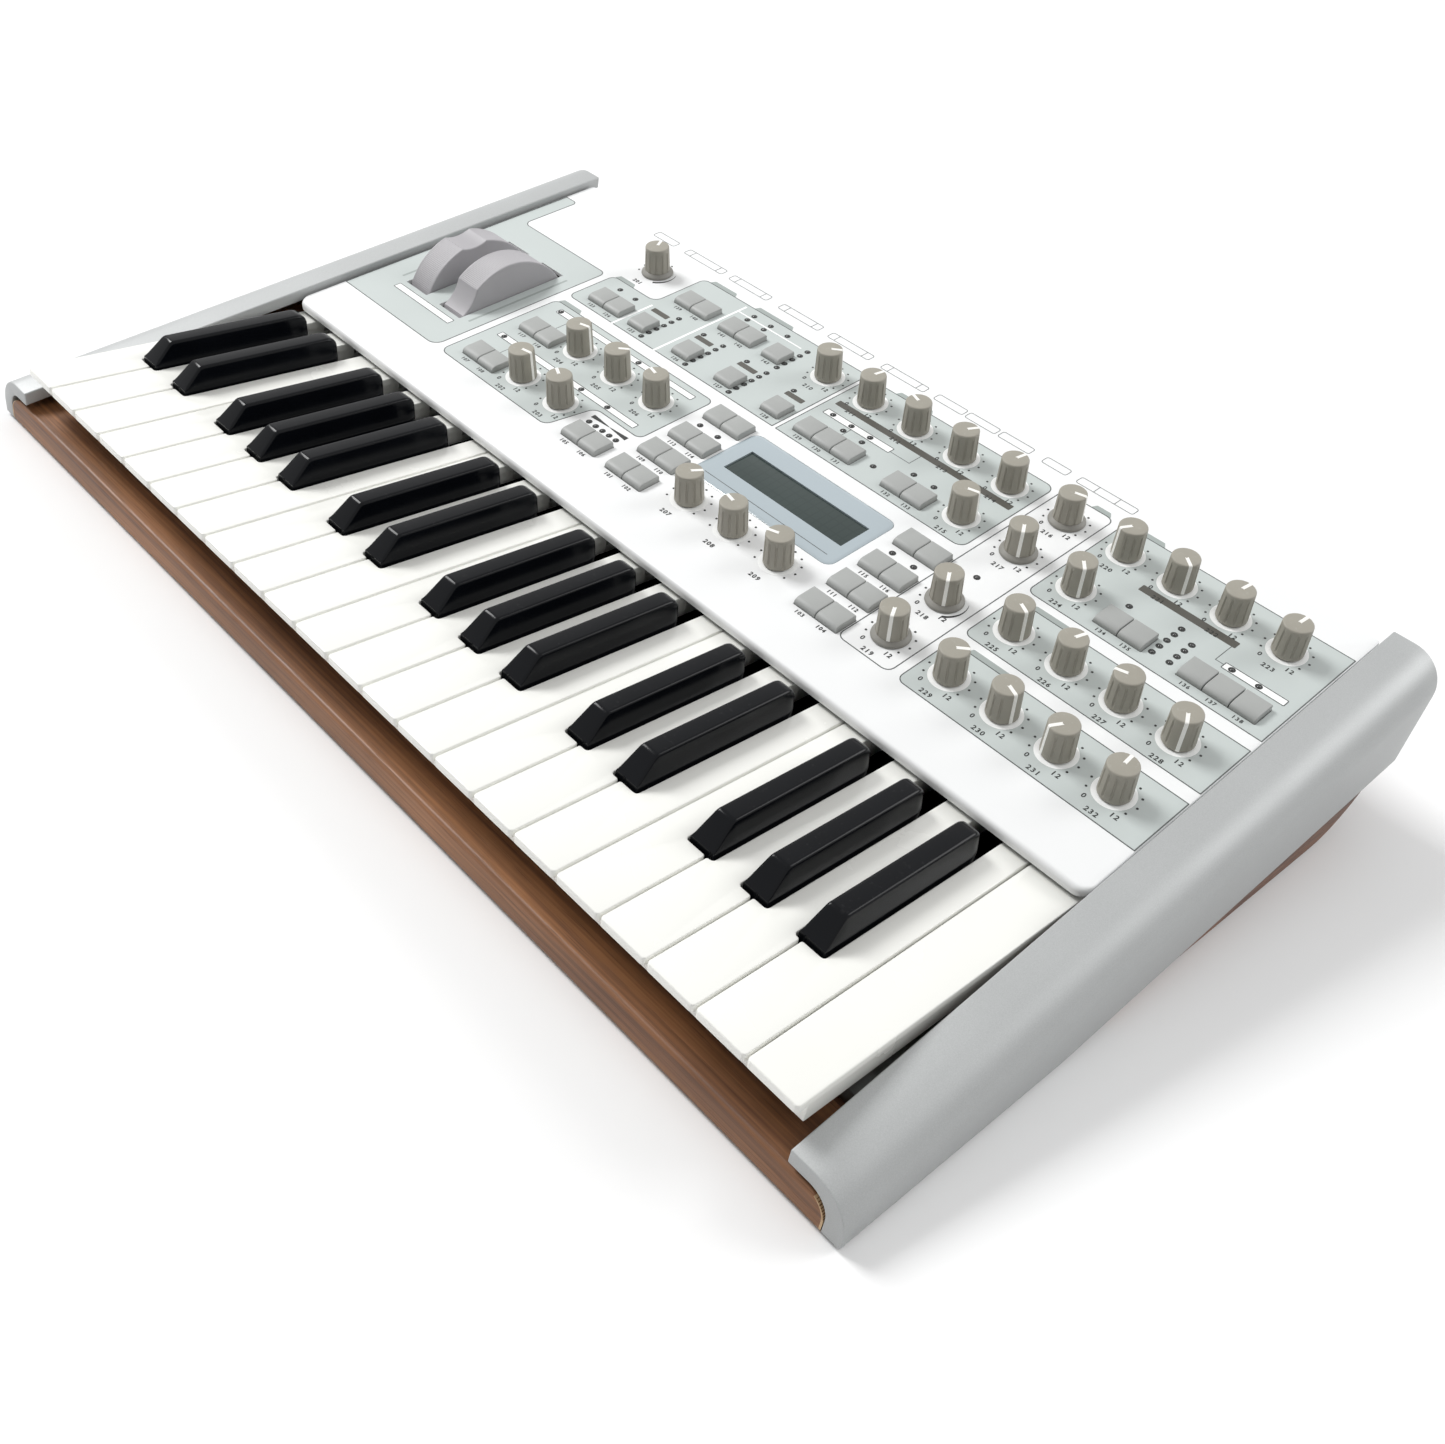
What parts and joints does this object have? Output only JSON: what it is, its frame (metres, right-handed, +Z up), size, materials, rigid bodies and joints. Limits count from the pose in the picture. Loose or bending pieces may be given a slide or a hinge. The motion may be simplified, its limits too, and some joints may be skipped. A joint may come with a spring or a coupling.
{
  "type": "synthesizer",
  "caption": "Keyboard synthesizer with a sloped white control panel, wooden base, silver cheeks, turning knobs, push buttons, two wheels and pressable keys.",
  "frame": {"origin": "on the table, below the middle of the case's width and depth", "axes": "+X to the player's right along the keyboard, +Y away from the player, +Z up"},
  "size_m": [0.575, 0.348, 0.089],
  "materials": {
    "walnut": "oiled walnut with straight grain along the width",
    "silver_cheek": "satin silver lacquer over metal",
    "white_panel": "matt white lacquer with pale grey-green printed fields",
    "dark_plate": "fine dark grey powder coat",
    "frame_steel": "plain folded steel",
    "circuit_board": "green board",
    "pot_metal": "plain can and bushing",
    "led_lens": "dark unlit lens",
    "window": "pale blue-grey window plate",
    "lcd": "dark green-grey display glass",
    "socket_plastic": "black moulded plastic",
    "rubber": "matt black rubber",
    "screw_steel": "zinc-plated screws",
    "ivory": "smooth white moulded key",
    "ebony": "glossy black moulded key",
    "knob_plastic": "warm grey knob with shallow grooves and a white pointer line",
    "cap_plastic": "light grey satin button cap",
    "wheel_plastic": "grey satin wheel with fine ridges"
  },
  "bodies": {
    "case": {"wood_base": "walnut", "wood_front_rail": "walnut", "left_cheek": "silver_cheek", "right_cheek": "silver_cheek", "top_panel": "white_panel", "rear_panel": "dark_plate", "keybed_frame": "frame_steel", "key_contact_board": "circuit_board", "control_board": "circuit_board", "main_board": "circuit_board", "knob_potentiometers": "pot_metal", "status_leds": "led_lens", "display_window": "window", "display_module": "lcd", "rear_sockets": "socket_plastic", "wheel_bracket": "frame_steel", "rubber_feet": "rubber", "case_screws": "screw_steel"},
    "power_switch": {"power_switch": "socket_plastic"},
    "white_keys_low": {"white_keys_low": "ivory"},
    "black_keys_low": {"black_keys_low": "ebony"},
    "white_keys_middle": {"white_keys_middle": "ivory"},
    "black_keys_middle": {"black_keys_middle": "ebony"},
    "white_keys_high": {"white_keys_high": "ivory"},
    "black_keys_high": {"black_keys_high": "ebony"},
    "pitch_wheel": {"pitch_wheel": "wheel_plastic"},
    "mod_wheel": {"mod_wheel": "wheel_plastic"},
    "panel_buttons": {"panel_buttons": "cap_plastic"},
    "volume_knob": {"volume_knob": "knob_plastic"},
    "effect_mix_knob": {"effect_mix_knob": "knob_plastic"},
    "effect_intensity_knob": {"effect_intensity_knob": "knob_plastic"},
    "delay_send_knob": {"delay_send_knob": "knob_plastic"},
    "delay_time_knob": {"delay_time_knob": "knob_plastic"},
    "delay_feedback_knob": {"delay_feedback_knob": "knob_plastic"},
    "value_knob_1": {"value_knob_1": "knob_plastic"},
    "value_knob_2": {"value_knob_2": "knob_plastic"},
    "value_knob_3": {"value_knob_3": "knob_plastic"},
    "lfo_rate_knob": {"lfo_rate_knob": "knob_plastic"},
    "osc_shape_knob": {"osc_shape_knob": "knob_plastic"},
    "osc_wave_knob": {"osc_wave_knob": "knob_plastic"},
    "osc_semitone_knob": {"osc_semitone_knob": "knob_plastic"},
    "osc_detune_knob": {"osc_detune_knob": "knob_plastic"},
    "fm_amount_knob": {"fm_amount_knob": "knob_plastic"},
    "osc_balance_knob": {"osc_balance_knob": "knob_plastic"},
    "sub_volume_knob": {"sub_volume_knob": "knob_plastic"},
    "osc_volume_knob": {"osc_volume_knob": "knob_plastic"},
    "noise_volume_knob": {"noise_volume_knob": "knob_plastic"},
    "cutoff_knob": {"cutoff_knob": "knob_plastic"},
    "resonance_knob": {"resonance_knob": "knob_plastic"},
    "env_amount_knob": {"env_amount_knob": "knob_plastic"},
    "filter_balance_knob": {"filter_balance_knob": "knob_plastic"},
    "cutoff_2_knob": {"cutoff_2_knob": "knob_plastic"},
    "filter_attack_knob": {"filter_attack_knob": "knob_plastic"},
    "filter_decay_knob": {"filter_decay_knob": "knob_plastic"},
    "filter_sustain_knob": {"filter_sustain_knob": "knob_plastic"},
    "filter_release_knob": {"filter_release_knob": "knob_plastic"},
    "amp_attack_knob": {"amp_attack_knob": "knob_plastic"},
    "amp_decay_knob": {"amp_decay_knob": "knob_plastic"},
    "amp_sustain_knob": {"amp_sustain_knob": "knob_plastic"},
    "amp_release_knob": {"amp_release_knob": "knob_plastic"}
  },
  "joints": [
    {"name": "white_keys_low_press", "type": "hinge", "parent": "case", "child": "white_keys_low", "pos_m": [0, 0.01248, 0.026], "axis": [1, 0, 0], "range_deg": [0, 3], "stiffness_Nm_per_rad": 2, "springref_deg": -22.92},
    {"name": "black_keys_low_press", "type": "hinge", "parent": "case", "child": "black_keys_low", "pos_m": [0, 0.01248, 0.026], "axis": [1, 0, 0], "range_deg": [0, 3], "stiffness_Nm_per_rad": 1.5, "springref_deg": -22.92},
    {"name": "white_keys_middle_press", "type": "hinge", "parent": "case", "child": "white_keys_middle", "pos_m": [0, 0.01248, 0.026], "axis": [1, 0, 0], "range_deg": [0, 3], "stiffness_Nm_per_rad": 2, "springref_deg": -22.92},
    {"name": "black_keys_middle_press", "type": "hinge", "parent": "case", "child": "black_keys_middle", "pos_m": [0, 0.01248, 0.026], "axis": [1, 0, 0], "range_deg": [0, 3], "stiffness_Nm_per_rad": 1.5, "springref_deg": -22.92},
    {"name": "white_keys_high_press", "type": "hinge", "parent": "case", "child": "white_keys_high", "pos_m": [0, 0.01248, 0.026], "axis": [1, 0, 0], "range_deg": [0, 3], "stiffness_Nm_per_rad": 2, "springref_deg": -22.92},
    {"name": "black_keys_high_press", "type": "hinge", "parent": "case", "child": "black_keys_high", "pos_m": [0, 0.01248, 0.026], "axis": [1, 0, 0], "range_deg": [0, 3], "stiffness_Nm_per_rad": 1.5, "springref_deg": -22.92},
    {"name": "panel_buttons_press", "type": "slide", "parent": "case", "child": "panel_buttons", "axis": [0, 0.1685, -0.9857], "range_m": [0, 0.001], "stiffness_N_per_m": 3000, "springref_m": -0.0006},
    {"name": "pitch_wheel_turn", "type": "hinge", "parent": "case", "child": "pitch_wheel", "pos_m": [-0.2294, 0.06164, 0.04094], "axis": [-1, 0, 0], "range_deg": [-38, 38], "stiffness_Nm_per_rad": 0.3},
    {"name": "mod_wheel_turn", "type": "hinge", "parent": "case", "child": "mod_wheel", "pos_m": [-0.1994, 0.06164, 0.04094], "axis": [-1, 0, 0], "range_deg": [0, 76]},
    {"name": "power_switch_rock", "type": "hinge", "parent": "case", "child": "power_switch", "pos_m": [0.193, 0.16518, 0.058], "axis": [1, 0, 0], "range_deg": [0, 14]},
    {"name": "volume_knob_turn", "type": "hinge", "parent": "case", "child": "volume_knob", "pos_m": [-0.16, 0.13314, 0.07193], "axis": [0, 0.1685, -0.9857], "range_deg": [-122, 178]},
    {"name": "effect_mix_knob_turn", "type": "hinge", "parent": "case", "child": "effect_mix_knob", "pos_m": [-0.126, 0.01752, 0.05217], "axis": [0, 0.1685, -0.9857], "range_deg": [-229, 71]},
    {"name": "effect_intensity_knob_turn", "type": "hinge", "parent": "case", "child": "effect_intensity_knob", "pos_m": [-0.0962, 0.01752, 0.05217], "axis": [0, 0.1685, -0.9857], "range_deg": [-86, 214]},
    {"name": "delay_send_knob_turn", "type": "hinge", "parent": "case", "child": "delay_send_knob", "pos_m": [-0.126, 0.0531, 0.05825], "axis": [0, 0.1685, -0.9857], "range_deg": [-224, 76]},
    {"name": "delay_time_knob_turn", "type": "hinge", "parent": "case", "child": "delay_time_knob", "pos_m": [-0.0962, 0.0531, 0.05825], "axis": [0, 0.1685, -0.9857], "range_deg": [-198, 102]},
    {"name": "delay_feedback_knob_turn", "type": "hinge", "parent": "case", "child": "delay_feedback_knob", "pos_m": [-0.067, 0.0531, 0.05825], "axis": [0, 0.1685, -0.9857], "range_deg": [-74, 226]},
    {"name": "value_knob_1_turn", "type": "hinge", "parent": "case", "child": "value_knob_1", "pos_m": [0.0011, 0.01456, 0.05166], "axis": [0, 0.1685, -0.9857], "range_deg": [-186, 114]},
    {"name": "value_knob_2_turn", "type": "hinge", "parent": "case", "child": "value_knob_2", "pos_m": [0.0301, 0.01456, 0.05166], "axis": [0, 0.1685, -0.9857], "range_deg": [-73, 227]},
    {"name": "value_knob_3_turn", "type": "hinge", "parent": "case", "child": "value_knob_3", "pos_m": [0.0591, 0.01456, 0.05166], "axis": [0, 0.1685, -0.9857], "range_deg": [-41, 259]},
    {"name": "lfo_rate_knob_turn", "type": "hinge", "parent": "case", "child": "lfo_rate_knob", "pos_m": [-0.0285, 0.13245, 0.07181], "axis": [0, 0.1685, -0.9857], "range_deg": [-202, 98]},
    {"name": "osc_shape_knob_turn", "type": "hinge", "parent": "case", "child": "osc_shape_knob", "pos_m": [0.0011, 0.13245, 0.07181], "axis": [0, 0.1685, -0.9857], "range_deg": [-163, 137]},
    {"name": "osc_wave_knob_turn", "type": "hinge", "parent": "case", "child": "osc_wave_knob", "pos_m": [0.0307, 0.13245, 0.07181], "axis": [0, 0.1685, -0.9857], "range_deg": [-79, 221]},
    {"name": "osc_semitone_knob_turn", "type": "hinge", "parent": "case", "child": "osc_semitone_knob", "pos_m": [0.0603, 0.13245, 0.07181], "axis": [0, 0.1685, -0.9857], "range_deg": [-180, 120]},
    {"name": "osc_detune_knob_turn", "type": "hinge", "parent": "case", "child": "osc_detune_knob", "pos_m": [0.0899, 0.13245, 0.07181], "axis": [0, 0.1685, -0.9857], "range_deg": [-161, 139]},
    {"name": "fm_amount_knob_turn", "type": "hinge", "parent": "case", "child": "fm_amount_knob", "pos_m": [0.0899, 0.09874, 0.06605], "axis": [0, 0.1685, -0.9857], "range_deg": [-223, 77]},
    {"name": "osc_balance_knob_turn", "type": "hinge", "parent": "case", "child": "osc_balance_knob", "pos_m": [0.123, 0.13245, 0.07181], "axis": [0, 0.1685, -0.9857], "range_deg": [-223, 77]},
    {"name": "sub_volume_knob_turn", "type": "hinge", "parent": "case", "child": "sub_volume_knob", "pos_m": [0.123, 0.09874, 0.06605], "axis": [0, 0.1685, -0.9857], "range_deg": [-297, 3]},
    {"name": "osc_volume_knob_turn", "type": "hinge", "parent": "case", "child": "osc_volume_knob", "pos_m": [0.123, 0.05044, 0.0578], "axis": [0, 0.1685, -0.9857], "range_deg": [-296, 4]},
    {"name": "noise_volume_knob_turn", "type": "hinge", "parent": "case", "child": "noise_volume_knob", "pos_m": [0.123, 0.01752, 0.05217], "axis": [0, 0.1685, -0.9857], "range_deg": [-300, 0]},
    {"name": "cutoff_knob_turn", "type": "hinge", "parent": "case", "child": "cutoff_knob", "pos_m": [0.155, 0.13353, 0.072], "axis": [0, 0.1685, -0.9857], "range_deg": [0, 300]},
    {"name": "resonance_knob_turn", "type": "hinge", "parent": "case", "child": "resonance_knob", "pos_m": [0.1824, 0.13353, 0.072], "axis": [0, 0.1685, -0.9857], "range_deg": [-278, 22]},
    {"name": "env_amount_knob_turn", "type": "hinge", "parent": "case", "child": "env_amount_knob", "pos_m": [0.2098, 0.13353, 0.072], "axis": [0, 0.1685, -0.9857], "range_deg": [-158, 142]},
    {"name": "filter_balance_knob_turn", "type": "hinge", "parent": "case", "child": "filter_balance_knob", "pos_m": [0.2372, 0.13353, 0.072], "axis": [0, 0.1685, -0.9857], "range_deg": [-155, 145]},
    {"name": "cutoff_2_knob_turn", "type": "hinge", "parent": "case", "child": "cutoff_2_knob", "pos_m": [0.155, 0.09874, 0.06605], "axis": [0, 0.1685, -0.9857], "range_deg": [-288, 12]},
    {"name": "filter_attack_knob_turn", "type": "hinge", "parent": "case", "child": "filter_attack_knob", "pos_m": [0.155, 0.05763, 0.05903], "axis": [0, 0.1685, -0.9857], "range_deg": [-267, 33]},
    {"name": "filter_decay_knob_turn", "type": "hinge", "parent": "case", "child": "filter_decay_knob", "pos_m": [0.1824, 0.05763, 0.05903], "axis": [0, 0.1685, -0.9857], "range_deg": [-168, 132]},
    {"name": "filter_sustain_knob_turn", "type": "hinge", "parent": "case", "child": "filter_sustain_knob", "pos_m": [0.2098, 0.05763, 0.05903], "axis": [0, 0.1685, -0.9857], "range_deg": [-43, 257]},
    {"name": "filter_release_knob_turn", "type": "hinge", "parent": "case", "child": "filter_release_knob", "pos_m": [0.2372, 0.05763, 0.05903], "axis": [0, 0.1685, -0.9857], "range_deg": [-300, 0]},
    {"name": "amp_attack_knob_turn", "type": "hinge", "parent": "case", "child": "amp_attack_knob", "pos_m": [0.155, 0.01752, 0.05217], "axis": [0, 0.1685, -0.9857], "range_deg": [-199, 101]},
    {"name": "amp_decay_knob_turn", "type": "hinge", "parent": "case", "child": "amp_decay_knob", "pos_m": [0.1824, 0.01752, 0.05217], "axis": [0, 0.1685, -0.9857], "range_deg": [-262, 38]},
    {"name": "amp_sustain_knob_turn", "type": "hinge", "parent": "case", "child": "amp_sustain_knob", "pos_m": [0.2098, 0.01752, 0.05217], "axis": [0, 0.1685, -0.9857], "range_deg": [0, 300]},
    {"name": "amp_release_knob_turn", "type": "hinge", "parent": "case", "child": "amp_release_knob", "pos_m": [0.2372, 0.01752, 0.05217], "axis": [0, 0.1685, -0.9857], "range_deg": [-145, 155]}
  ]
}
